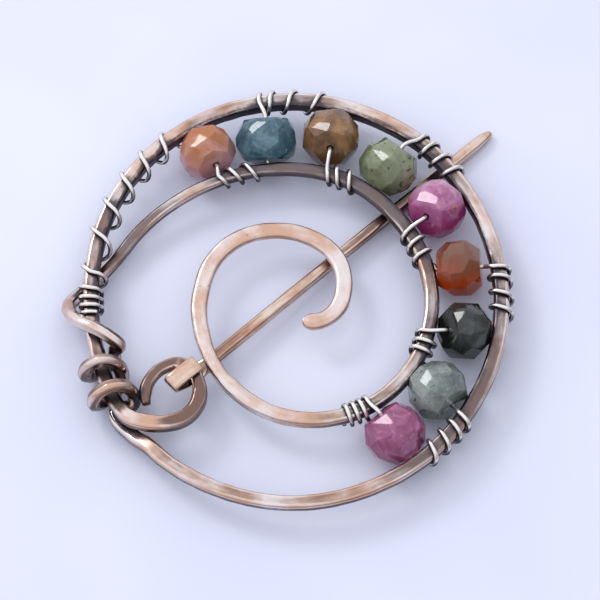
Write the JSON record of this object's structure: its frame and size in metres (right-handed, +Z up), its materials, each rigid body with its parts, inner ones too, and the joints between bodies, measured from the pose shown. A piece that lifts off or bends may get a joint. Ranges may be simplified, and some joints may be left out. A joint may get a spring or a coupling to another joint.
{
  "type": "shawl pin",
  "caption": "Wire-wrapped shawl pin: a hammered copper ring with an inner ring and spiral, faceted stone beads on silver wire, and a pin stick that hinges on a small ring.",
  "frame": {"origin": "bottom centre of the bounding box, on the surface that the pin lies on", "axes": "+Z up out of the rings' plane, +X to the side of the beads, +Y towards the pin stick's tip; the pin stick points about 43 degrees from +X towards +Y"},
  "size_m": [0.0604, 0.0622, 0.0084],
  "materials": {
    "copper": "hammered copper with dark patina in the recesses",
    "silver": "bright drawn silver wire",
    "bead_peach": "polished faceted stone",
    "bead_teal": "polished faceted stone",
    "bead_amber": "polished faceted stone",
    "bead_sage": "polished faceted stone",
    "bead_pink": "polished faceted stone",
    "bead_rust": "polished faceted stone",
    "bead_forest": "polished faceted stone",
    "bead_misty": "polished faceted stone",
    "bead_plum": "polished faceted stone"
  },
  "bodies": {
    "frame": {"frame_wire": "copper", "silver_wire": "silver", "bead_peach": "bead_peach", "bead_teal": "bead_teal", "bead_amber": "bead_amber", "bead_sage": "bead_sage", "bead_pink": "bead_pink", "bead_rust": "bead_rust", "bead_forest": "bead_forest", "bead_misty": "bead_misty", "bead_plum": "bead_plum"},
    "pin": {"pin_stick": "copper"}
  },
  "joints": [
    {"name": "pin_hinge", "type": "hinge", "parent": "frame", "child": "pin", "pos_m": [-0.01271, -0.01201, 0.0044], "axis": [-0.6639, 0.7478, -0.001], "range_deg": [-1, 105]}
  ]
}
